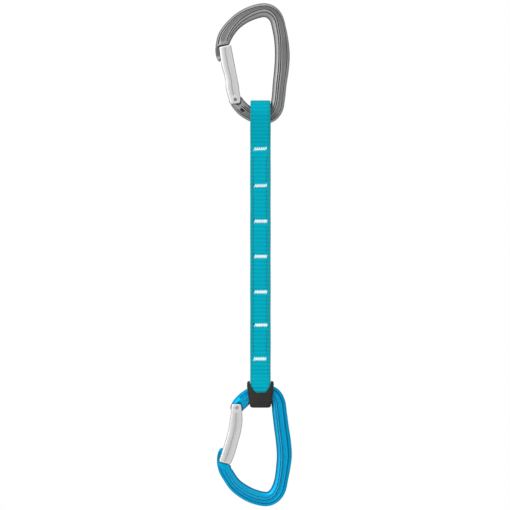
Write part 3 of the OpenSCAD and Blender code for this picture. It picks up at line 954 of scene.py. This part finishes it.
def bar_corridor():
    """The room for the lower carabiner's bar."""
    place, slope = curve(LOWER["bar"], np.linspace(CORRIDOR_FROM, len(LOWER["bar"]) - 1.2, 60))
    side = outward(slope) * (place[:, 2:3] / 2 + BAR_ROOM)
    outline = np.vstack([place[:, :2] + side, (place[:, :2] - side)[::-1]])
    deep = FRAME_T / 2 + BAR_ROOM
    return loft("corridor", hang(LOWER, prism(outline, -deep, deep)))


def notch_space():
    """The notch between the ears, with a rim that opens out towards each face."""
    rings = []
    for y, opens in ((-NOTCH_FACE, 1), (-NOTCH_DEEP, 0), (NOTCH_DEEP, 0), (NOTCH_FACE, 1)):
        side, down = NOTCH_SIDE * opens, NOTCH_DOWN * opens
        rings.append([(SLING_X + x + math.copysign(side, x), y, z - down) for x, z in NOTCH])
    return loft("notch", rings)


def keeper_piece(material):
    obj = keeper_walls("rubber_keeper", KEEPER_WALLS, WALL_SQUARE)
    eye_room = keeper_walls("eye_room", EYE_ROOM_WALLS, EYE_ROOM_SQUARE)
    carve(obj, eye_room, bar_corridor(), notch_space())
    remesh = obj.modifiers.new("remesh", "REMESH")
    remesh.mode = "VOXEL"
    remesh.voxel_size = VOXEL * MM
    soften = obj.modifiers.new("soften", "SMOOTH")
    soften.factor = 0.5
    soften.iterations = SMOOTHINGS
    apply_modifiers(obj)
    obj.data.shade_smooth()
    finish_piece(obj, "lower_carabiner", material, "keeper")


# ---- materials

# Scale of the finest grain on metal and thread, in features per metre
GRAIN = 2600
# The weave: a yarn's width, and the middle, start and sharpness of its borders across the band
YARN_W = 0.85
BORDER_MIDDLE, BORDER_FROM, BORDER_SHARP = -0.4, 5.9, 1.5


def srgb(r, g, b):
    """A colour as it is seen, 0 to 255, in the linear values that shaders use."""
    shares = (v / 255 for v in (r, g, b))
    return tuple(((v + 0.055) / 1.055) ** 2.4 if v > 0.04 else v / 12.92 for v in shares) + (1.0,)


class Nodes:
    """A material's node tree, with short ways to add and join nodes."""

    def __init__(self, name):
        self.material = bpy.data.materials.new(name)
        self.material.use_nodes = True
        self.tree = self.material.node_tree
        self.shader = self.tree.nodes["Principled BSDF"]

    def add(self, kind, **values):
        node = self.tree.nodes.new(kind)
        for key, value in values.items():
            if hasattr(node, key):
                setattr(node, key, value)
            else:
                node.inputs[key.replace("_", " ")].default_value = value
        return node

    def give(self, socket, value):
        """Sets a socket to a value, or joins another node's output to it."""
        if isinstance(value, bpy.types.NodeSocket):
            self.tree.links.new(value, socket)
        else:
            socket.default_value = value

    def math(self, operation, a, b=0.0, clamp=False):
        node = self.add("ShaderNodeMath", operation=operation, use_clamp=clamp)
        for socket, value in zip(node.inputs, (a, b)):
            self.give(socket, value)
        return node.outputs[0]

    def plus(self, a, b, clamp=False):
        return self.math("ADD", a, b, clamp)

    def times(self, a, b, clamp=False):
        return self.math("MULTIPLY", a, b, clamp)

    def mix(self, share, a, b):
        node = self.add("ShaderNodeMix", data_type="RGBA")
        for socket, value in zip((node.inputs[0], node.inputs[6], node.inputs[7]), (share, a, b)):
            self.give(socket, value)
        return node.outputs[2]

    def noise(self, scale, detail=3.0, stretch=(1, 1, 1)):
        """Noise over the piece, with scale in features per metre."""
        place = self.add("ShaderNodeTexCoord").outputs["Object"]
        mapping = self.add("ShaderNodeMapping", Scale=stretch)
        self.give(mapping.inputs["Vector"], place)
        node = self.add("ShaderNodeTexNoise", Scale=scale, Detail=detail)
        self.give(node.inputs["Vector"], mapping.outputs[0])
        return node.outputs["Fac"]

    def attribute(self, name):
        node = self.add("ShaderNodeAttribute", attribute_name=name)
        parts = self.add("ShaderNodeSeparateXYZ")
        self.give(parts.inputs[0], node.outputs["Vector"])
        return parts.outputs

    def bump(self, height, distance_mm, strength=1.0):
        node = self.add("ShaderNodeBump", Strength=strength, Distance=distance_mm * MM)
        self.give(node.inputs["Height"], height)
        self.give(self.shader.inputs["Normal"], node.outputs[0])

    def set(self, **values):
        for key, value in values.items():
            self.give(self.shader.inputs[key.replace("_", " ")], value)


def anodised(name, light, dark, lip_highlight, roughness):
    """Anodised forged aluminium: painted shade in the channels and on cut faces, and painted highlight on
    their lips.
    """
    n = Nodes(name)
    channel, lip, _ = n.attribute("forged")
    cloud = n.noise(140, 4)
    grain = n.noise(GRAIN, 2)
    # Painted shade from the forged attribute, with random tone from the cloud noise
    tone = n.plus(channel, n.times(n.math("SUBTRACT", cloud, 0.5), 0.22), clamp=True)
    colour = n.mix(tone, srgb(*light), srgb(*dark))
    # Painted highlight on the lips and the inner rim, broken up by the cloud noise
    painted_lip_highlight = n.times(lip, n.plus(0.25, n.times(cloud, 0.7)))
    rough = n.plus(roughness - 0.08, n.times(grain, 0.16))
    n.set(Base_Color=n.mix(painted_lip_highlight, colour, srgb(*lip_highlight)), Metallic=0.8, Roughness=rough)
    n.set(Specular_IOR_Level=0.4, Specular_Tint=srgb(*light))
    n.bump(grain, 0.012, 0.5)
    return n.material


def polished(name):
    """Tumbled aluminium: soft sheen, painted shade by the crease and edges, faint lengthwise brushing."""
    n = Nodes(name)
    crease, _, _ = n.attribute("forged")
    brush = n.noise(1600, 2, (1, 1, 0.05))
    cloud = n.noise(60, 3)
    grain = n.noise(GRAIN, 2)
    metal = n.mix(cloud, srgb(246, 246, 246), srgb(236, 235, 235))
    rough = n.plus(0.44, n.times(n.plus(brush, grain), 0.06))
    # The colour of the painted shade, laid on by the forged attribute
    n.set(Base_Color=n.mix(crease, metal, srgb(92, 91, 91)), Metallic=0.9, Roughness=rough)
    n.bump(n.plus(brush, grain), 0.004, 0.3)
    return n.material


def steel(name, tint):
    """Brushed steel, with a fine grain in its tone and its sheen."""
    n = Nodes(name)
    grain = n.noise(1500, 4)
    colour = n.mix(grain, srgb(*tint), srgb(*[v * 0.75 for v in tint]))
    n.set(Base_Color=colour, Metallic=0.9, Roughness=n.plus(0.3, n.times(grain, 0.2)))
    n.bump(grain, 0.01, 0.4)
    return n.material


def webbing_cloth(name):
    """Woven nylon: warp columns crossed by weft ribs, painted light and shade on them, darker along the
    edges.
    """
    n = Nodes(name)
    sideways, along_band, _ = n.attribute("cloth")
    column = n.math("DIVIDE", sideways, YARN_W)
    odd = n.math("MODULO", n.math("FLOOR", n.plus(column, 40.0)), 2.0)
    row = n.plus(n.math("DIVIDE", along_band, RIB_PERIOD / 3), n.times(odd, 0.5))
    yarn = n.times(wave(n, column), wave(n, row))
    ribs = n.math("COSINE", n.times(along_band, 2 * math.pi / RIB_PERIOD))
    rib = n.plus(n.times(ribs, 0.5), 0.5)
    fuzz = n.noise(3800, 3)
    from_middle = n.math("ABSOLUTE", n.plus(sideways, -BORDER_MIDDLE))
    edge = n.times(n.math("SUBTRACT", from_middle, BORDER_FROM), BORDER_SHARP, clamp=True)
    # Painted highlight on the yarns' middles and the ribs' crests, painted shade between them; the fuzz is
    # random tone
    tone = n.plus(n.times(yarn, 0.45), n.times(rib, 0.3))
    tone = n.plus(tone, n.times(fuzz, 0.3), clamp=True)
    middle = n.mix(tone, srgb(0, 150, 172), srgb(4, 197, 218))
    border = n.mix(tone, srgb(6, 142, 158), srgb(24, 186, 200))
    n.set(Base_Color=n.mix(edge, middle, border), Roughness=0.9, Specular_IOR_Level=0.06)
    n.bump(n.plus(yarn, n.times(fuzz, 0.4)), 0.14, 0.8)
    return n.material


def wave(n, value):
    """A row of round yarns, one for each whole step of value."""
    return n.math("ABSOLUTE", n.math("SINE", n.times(value, math.pi)))


def thread(name, light, dark, painted_glow=0.0):
    """Twisted polyester thread, which gives off a little painted light of its own."""
    n = Nodes(name)
    twist = n.noise(GRAIN, 2, (1, 1, 0.4))
    n.set(Base_Color=n.mix(twist, srgb(*dark), srgb(*light)), Roughness=0.65, Specular_IOR_Level=0.35)
    # Emission: painted light, so the white thread looks brighter than the lamps make it
    n.set(Sheen_Weight=0.1, Emission_Color=srgb(*light), Emission_Strength=painted_glow)
    n.bump(twist, 0.05, 0.6)
    return n.material


def rubber(name):
    """Matte moulded rubber: fine grain and a few broader mottles."""
    n = Nodes(name)
    grain = n.noise(3000, 3)
    mottle = n.noise(420, 3)
    tone = n.plus(n.times(mottle, 0.7), n.times(grain, 0.3))
    n.set(Base_Color=n.mix(tone, srgb(22, 21, 20), srgb(60, 58, 56)), Specular_IOR_Level=0.25)
    n.set(Roughness=n.plus(0.52, n.times(grain, 0.25)))
    n.bump(n.plus(grain, mottle), 0.06, 0.5)
    return n.material


# ---- the two carabiners

# Each metal: its colour, the colour of its painted shade, and the colour of its painted highlight
GREY = anodised("grey_anodised_aluminium", (170, 170, 170), (44, 44, 44), (210, 210, 210), 0.56)
BLUE = anodised("blue_anodised_aluminium", (6, 180, 226), (0, 92, 140), (100, 206, 242), 0.55)
SILVER = polished("polished_aluminium")
STEEL = steel("rivet_steel", (170, 166, 166))
PALE_STEEL = steel("pale_rivet_steel", (224, 212, 210))
SPRING_STEEL = steel("spring_steel", (150, 150, 152))

for part, c, slot, metal, rivet_metal in (
    ("upper", UPPER, "anodised_grey", GREY, STEEL),
    ("lower", LOWER, "anodised_blue", BLUE, PALE_STEEL),
):
    gate = f"{part}_gate"
    frame_piece(f"{part}_forged_frame", c, f"{part}_carabiner", metal, f"{part}_frame")
    gate_piece(f"{part}_solid_gate", c, gate, SILVER, gate)
    rivet_piece(f"{part}_peened_rivet", c, gate, rivet_metal, f"{gate}_rivet")
    spring_piece(f"{part}_coil_spring", c, gate, SPRING_STEEL, f"{gate}_spring")
    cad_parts[f"{gate}_plunger"].data.materials[0] = SPRING_STEEL

# ---- the sling and its keeper

webbing_piece(webbing_cloth("woven_nylon"))
SEAM_THREAD = thread("teal_thread", (0, 148, 168), (0, 114, 134))
TACK_THREAD = thread("white_thread", (250, 255, 255), (222, 244, 250), painted_glow=0.14)
for side in SEAM_X:
    seam_piece(side, SEAM_THREAD)
for index in range(len(TACK_Z)):
    tack_piece(index, TACK_THREAD)
keeper_piece(rubber("moulded_rubber"))

# ---- camera, light and floor

CAMERA_DISTANCE = 2.38
LENS = 200
LOOK_AT = Vector((-7.56 * MM, 0, -199.75 * MM))
# Brightness of the world, in front of the object and behind it
WORLD_GREY, WORLD_WHITE = 0.4, 1.0
FLOOR_HALF, FLOOR_TOP, FLOOR_T = 440, -472, 2


def camera():
    data = bpy.data.cameras.new("camera")
    data.lens = LENS
    data.sensor_width = 36
    data.clip_end = 50
    obj = link("camera", data)
    obj.location = LOOK_AT + Vector((0, -CAMERA_DISTANCE, 0))
    obj.rotation_euler = (math.radians(90), 0, 0)
    bpy.context.scene.camera = obj


def softbox(name, place, size, power):
    data = bpy.data.lights.new(name, "AREA")
    data.shape = "RECTANGLE"
    data.size, data.size_y = size
    data.energy = power
    obj = link(name, data)
    obj.location = place
    obj.rotation_euler = (LOOK_AT - Vector(place)).to_track_quat("-Z", "Y").to_euler()


def studio():
    """White behind the object, softer grey in front of it."""
    world = bpy.data.worlds.new("studio")
    bpy.context.scene.world = world
    world.use_nodes = True
    tree = world.node_tree
    place = tree.nodes.new("ShaderNodeTexCoord")
    parts = tree.nodes.new("ShaderNodeSeparateXYZ")
    ramp = tree.nodes.new("ShaderNodeMapRange")
    for name, ends in {"From": (0.2, 0.95), "To": (WORLD_GREY, WORLD_WHITE)}.items():
        ramp.inputs[f"{name} Min"].default_value, ramp.inputs[f"{name} Max"].default_value = ends
    background = tree.nodes["Background"].inputs
    background["Color"].default_value = (1, 1, 1, 1)
    tree.links.new(place.outputs["Generated"], parts.inputs[0])
    tree.links.new(parts.outputs["Y"], ramp.inputs["Value"])
    tree.links.new(ramp.outputs[0], background["Strength"])
    bpy.context.scene.view_settings.view_transform = "Standard"


def floor():
    n = Nodes("pale_floor")
    n.set(Base_Color=(0.82, 0.82, 0.82, 1), Roughness=0.7)
    foot, top, edge = FLOOR_TOP - FLOOR_T, FLOOR_TOP, FLOOR_HALF
    outline = [(-edge, foot), (edge, foot), (edge, top), (-edge, top)]
    obj = loft("floor", prism(outline, -edge, edge))
    obj.data.materials.append(n.material)


camera()
studio()
floor()
softbox("key", (-1.1, -1.2, 0.5), (0.7, 1.1), 17)
softbox("fill", (1.2, -1.2, -0.1), (0.6, 1.2), 4)
softbox("top", (0.0, -0.3, 1.0), (1.0, 0.6), 3)
